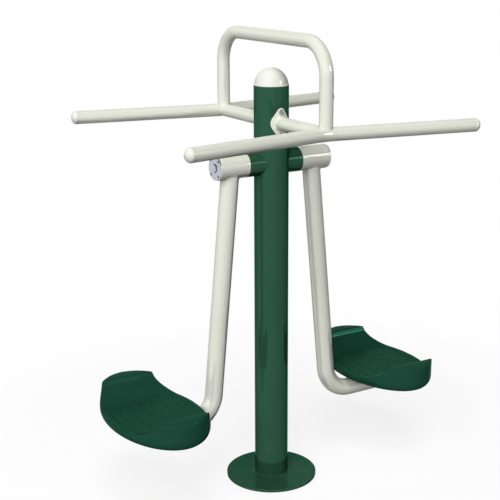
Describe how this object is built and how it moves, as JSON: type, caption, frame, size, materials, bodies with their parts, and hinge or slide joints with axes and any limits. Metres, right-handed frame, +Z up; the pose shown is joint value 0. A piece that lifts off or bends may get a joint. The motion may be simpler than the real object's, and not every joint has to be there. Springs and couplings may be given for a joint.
{
  "type": "outdoor surf trainer",
  "caption": "Outdoor surf trainer: a post with handlebars and an overhead loop, and swinging arms that each carry a moulded pedal.",
  "frame": {"origin": "middle of the foot plate's underside", "axes": "+Z up, X along the axle that both arms swing about, Y from the front handlebar to the back one"},
  "size_m": [1.2, 0.8454, 1.5282],
  "materials": {
    "green_paint": "glossy powder coat, dark green",
    "cream_paint": "glossy powder coat, off-white",
    "cream_plastic": "glossy, off-white",
    "green_plastic": "satin moulded, dark green",
    "black_plastic": "satin, black",
    "zinc_plate": "zinc plated",
    "bright_steel": "ground and oiled",
    "dark_steel": "black oxide"
  },
  "bodies": {
    "frame": {"base_plate": "green_paint", "post": "green_paint", "post_cap": "cream_paint", "cross_tube": "green_paint", "axle_shaft": "bright_steel", "left_shaft_collar": "green_paint", "right_shaft_collar": "green_paint", "left_inboard_inner_race": "bright_steel", "left_outboard_inner_race": "bright_steel", "right_inboard_inner_race": "bright_steel", "right_outboard_inner_race": "bright_steel", "left_axle_nut": "zinc_plate", "right_axle_nut": "zinc_plate", "front_handlebar": "cream_paint", "back_handlebar": "cream_paint", "front_left_bar_cap": "cream_plastic", "front_right_bar_cap": "cream_plastic", "back_left_bar_cap": "cream_plastic", "back_right_bar_cap": "cream_plastic", "front_stub_tube": "cream_paint", "back_stub_tube": "cream_paint", "front_saddle": "cream_paint", "back_saddle": "cream_paint", "overhead_loop": "cream_paint", "upper_clamp_bolt": "zinc_plate", "lower_clamp_bolt": "zinc_plate", "upper_clamp_nut": "zinc_plate", "lower_clamp_nut": "zinc_plate"},
    "left_arm": {"left_bearing_housing": "cream_paint", "left_inboard_outer_race": "bright_steel", "left_outboard_outer_race": "bright_steel", "left_inboard_ball_cage": "bright_steel", "left_outboard_ball_cage": "bright_steel", "left_end_cover": "zinc_plate", "left_cover_screw_1": "dark_steel", "left_cover_screw_2": "dark_steel", "left_cover_screw_3": "dark_steel", "left_cover_screw_4": "dark_steel", "left_swing_arm": "cream_paint", "left_arm_plug": "black_plastic", "left_pedal_bracket": "cream_paint", "left_pedal": "green_plastic", "left_pedal_bolt_1": "zinc_plate", "left_pedal_bolt_2": "zinc_plate"},
    "right_arm": {"right_bearing_housing": "cream_paint", "right_inboard_outer_race": "bright_steel", "right_outboard_outer_race": "bright_steel", "right_inboard_ball_cage": "bright_steel", "right_outboard_ball_cage": "bright_steel", "right_end_cover": "zinc_plate", "right_cover_screw_1": "dark_steel", "right_cover_screw_2": "dark_steel", "right_cover_screw_3": "dark_steel", "right_cover_screw_4": "dark_steel", "right_swing_arm": "cream_paint", "right_arm_plug": "black_plastic", "right_pedal_bracket": "cream_paint", "right_pedal": "green_plastic", "right_pedal_bolt_1": "zinc_plate", "right_pedal_bolt_2": "zinc_plate"}
  },
  "joints": [
    {"name": "left_swing", "type": "hinge", "parent": "frame", "child": "left_arm", "pos_m": [-0.15245, 0, 1.105], "axis": [1, 0, 0], "range_deg": [-35, 35]},
    {"name": "right_swing", "type": "hinge", "parent": "frame", "child": "right_arm", "pos_m": [0.15245, 0, 1.105], "axis": [1, 0, 0], "range_deg": [-35, 35]}
  ]
}
